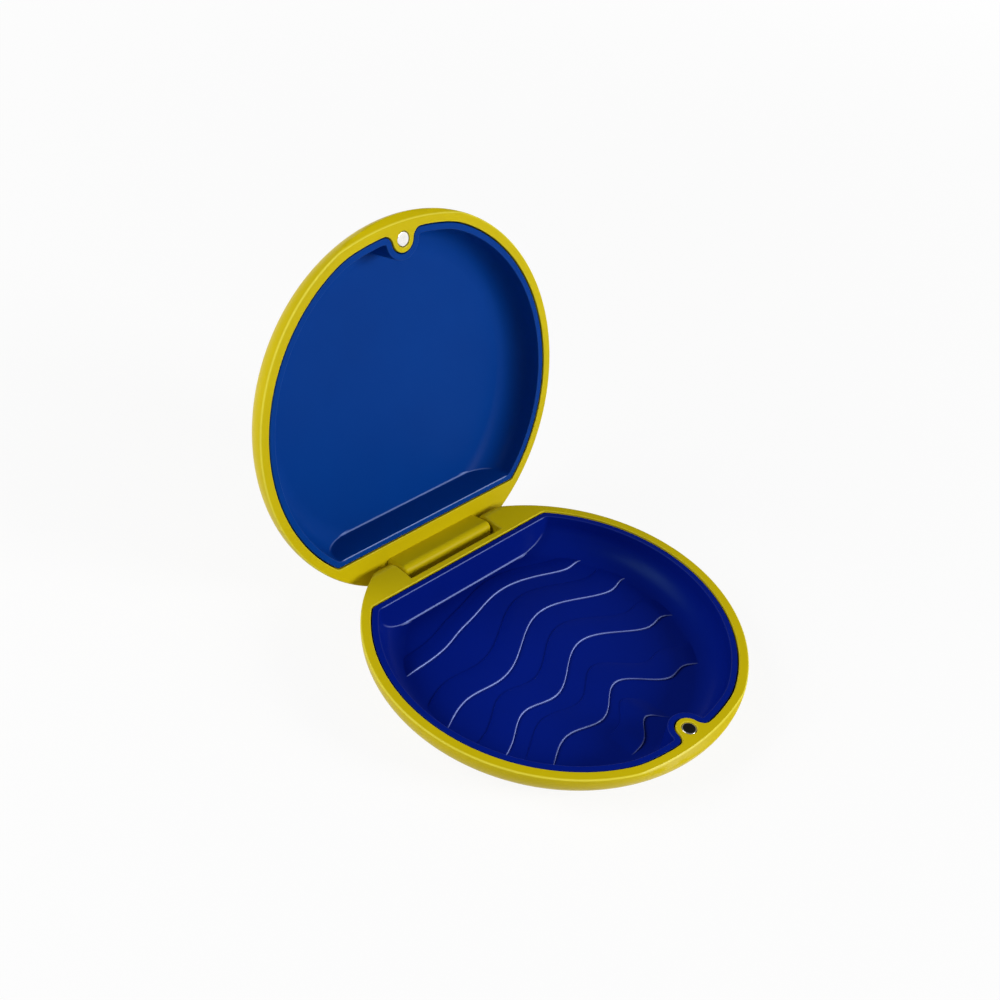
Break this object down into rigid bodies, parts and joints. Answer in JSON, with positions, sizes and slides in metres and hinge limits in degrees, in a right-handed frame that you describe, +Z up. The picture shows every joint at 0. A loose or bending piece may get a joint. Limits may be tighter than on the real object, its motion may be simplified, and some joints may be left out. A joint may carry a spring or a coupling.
{
  "type": "retainer case",
  "caption": "Round hinged hard case for a dental retainer, with soft inset trays, a wavy ribbed floor in the base and magnets that hold it shut.",
  "frame": {"origin": "centre of the base's flat foot, on the surface that the case stands on", "axes": "+X along the hinge pin, -Y towards the front edge with the magnets, +Y towards the hinge, +Z up"},
  "size_m": [0.078, 0.1001, 0.0762],
  "materials": {
    "shell": "satin",
    "base_tray": "satin",
    "lid_tray": "satin",
    "pin": "brushed",
    "magnet": "plated"
  },
  "bodies": {
    "base": {"base_shell": "shell", "base_liner": "base_tray", "base_magnet": "magnet", "hinge_pin": "pin"},
    "lid": {"lid_shell": "shell", "lid_liner": "lid_tray", "lid_magnet": "magnet"}
  },
  "joints": [
    {"name": "lid_hinge", "type": "hinge", "parent": "base", "child": "lid", "pos_m": [0, 0.0332, 0.00725], "axis": [1, 0, 0], "range_deg": [0, 104]}
  ]
}
